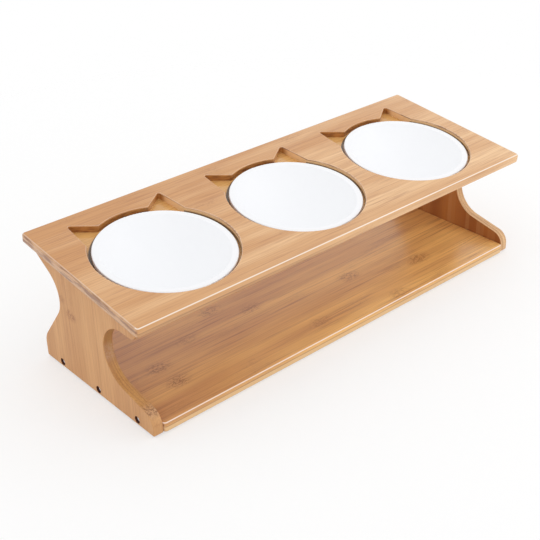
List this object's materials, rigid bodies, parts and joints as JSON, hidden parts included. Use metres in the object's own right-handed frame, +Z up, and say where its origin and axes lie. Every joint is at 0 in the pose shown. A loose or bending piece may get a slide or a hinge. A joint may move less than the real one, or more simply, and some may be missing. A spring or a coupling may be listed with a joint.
{
  "type": "elevated pet feeder",
  "caption": "Raised bamboo pet feeding stand: tilted top board with eared round recesses holding shallow white ceramic bowls, waisted end panels and a low shelf between them.",
  "frame": {"origin": "on the floor, under the middle of the stand's outer box", "axes": "+X along the length, to the right seen from the front; +Y to the back; +Z up"},
  "size_m": [0.492, 0.1768, 0.1327],
  "materials": {
    "bamboo": "satin lacquer",
    "glaze": "gloss white glaze",
    "steel": "bright zinc",
    "beech": "bare",
    "rubber": "matt"
  },
  "bodies": {
    "stand": {"top_board": "bamboo", "shelf_board": "bamboo", "left_end_panel": "bamboo", "right_end_panel": "bamboo", "left_shelf_screws": "steel", "right_shelf_screws": "steel", "left_top_dowels": "beech", "right_top_dowels": "beech", "front_left_foot_pad": "rubber", "back_left_foot_pad": "rubber", "front_right_foot_pad": "rubber", "back_right_foot_pad": "rubber"},
    "left_bowl": {"left_bowl": "glaze"},
    "middle_bowl": {"middle_bowl": "glaze"},
    "right_bowl": {"right_bowl": "glaze"}
  },
  "joints": [
    {"name": "left_bowl_lift", "type": "slide", "parent": "stand", "child": "left_bowl", "axis": [0, -0.1167, 0.9932], "range_m": [0, 0.08]},
    {"name": "middle_bowl_lift", "type": "slide", "parent": "stand", "child": "middle_bowl", "axis": [0, -0.1167, 0.9932], "range_m": [0, 0.08]},
    {"name": "right_bowl_lift", "type": "slide", "parent": "stand", "child": "right_bowl", "axis": [0, -0.1167, 0.9932], "range_m": [0, 0.08]}
  ]
}
